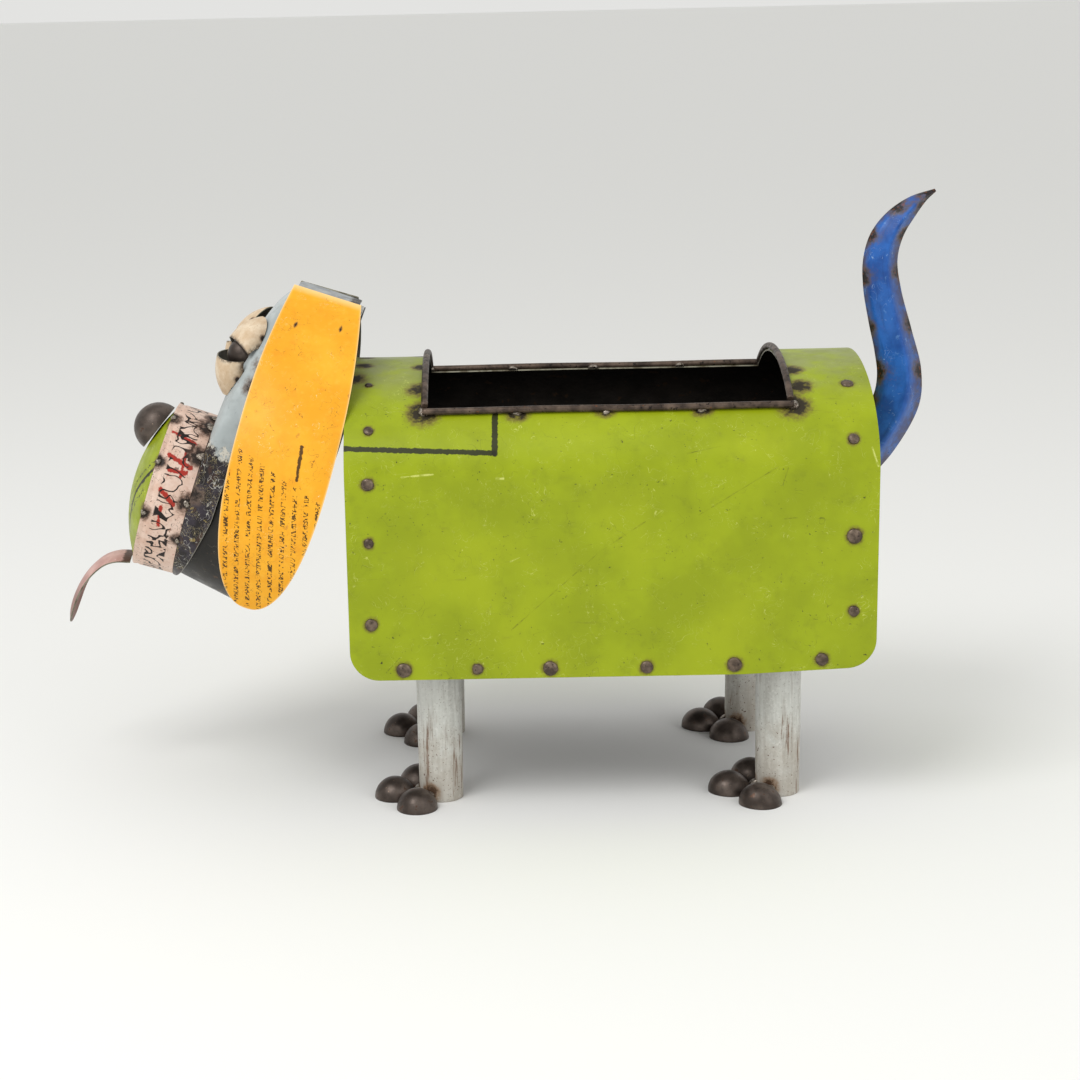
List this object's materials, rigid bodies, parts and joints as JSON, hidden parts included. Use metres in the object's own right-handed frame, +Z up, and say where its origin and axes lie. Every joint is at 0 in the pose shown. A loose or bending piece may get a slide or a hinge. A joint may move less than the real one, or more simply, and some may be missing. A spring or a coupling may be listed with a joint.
{
  "type": "scrap metal dog sculpture",
  "caption": "Dog figure welded from painted scrap sheet: arched body open on top as a trough, pipe legs, domed toes, drum snout, long hanging ears, upright tail.",
  "frame": {"origin": "on the ground, in the middle of the overall length and on the centre plane", "axes": "the dog looks along -X, +X runs to the tail, -Y is the dog's left side, +Z up"},
  "size_m": [0.8374, 0.3286, 0.5565],
  "materials": {
    "body_paint": "worn lime green gloss paint, scratched",
    "trough_inside": "dark, dull, dirty",
    "rim_rod": "bare rod, heat-blackened at the welds, varnished",
    "leg_pipe": "grey-white, stained brown, rusty at the ends",
    "bare_steel": "brown-black mill steel, varnished",
    "band_print": "cream print with red and black strokes, scratched and burnt",
    "cap_paint": "lime green gloss with black strokes",
    "face_sheet": "pale grey, with a dark scratched print on the cheeks",
    "jaw_paint": "dark grey, half gloss",
    "crown_paint": "grey, dark at the ends",
    "ear_paint": "warm yellow gloss with rows of small black strokes; dark inside",
    "lid_paint": "cream, stained",
    "tongue_paint": "dusty pink, burnt at the root",
    "tail_paint": "blue gloss with burnt weld spots"
  },
  "bodies": {
    "root": {"body_shell": "body_paint", "front_panel": "body_paint", "rear_panel": "body_paint", "floor_pan": "trough_inside", "rim_rod_near": "rim_rod", "rim_rod_far": "rim_rod", "rim_rod_front": "rim_rod", "rim_rod_rear": "rim_rod", "leg_front_near": "leg_pipe", "leg_front_far": "leg_pipe", "leg_rear_near": "leg_pipe", "leg_rear_far": "leg_pipe", "toe_front_near_outer": "bare_steel", "toe_front_near_middle": "bare_steel", "toe_front_near_inner": "bare_steel", "toe_front_far_outer": "bare_steel", "toe_front_far_middle": "bare_steel", "toe_front_far_inner": "bare_steel", "toe_rear_near_outer": "bare_steel", "toe_rear_near_middle": "bare_steel", "toe_rear_near_inner": "bare_steel", "toe_rear_far_outer": "bare_steel", "toe_rear_far_middle": "bare_steel", "toe_rear_far_inner": "bare_steel", "tail_near": "tail_paint", "tail_far": "tail_paint", "face_sheet": "face_sheet", "jaw_sheet": "jaw_paint", "head_back": "jaw_paint", "crown_strap": "crown_paint", "snout_band": "band_print", "snout_cap": "cap_paint", "nose": "bare_steel", "eyeball_near": "bare_steel", "eyeball_far": "bare_steel", "lid_upper_near": "lid_paint", "lid_upper_far": "lid_paint", "lid_lower_near": "lid_paint", "lid_lower_far": "lid_paint", "ear_near": "ear_paint", "ear_far": "ear_paint", "tongue": "tongue_paint"}
  },
  "joints": []
}
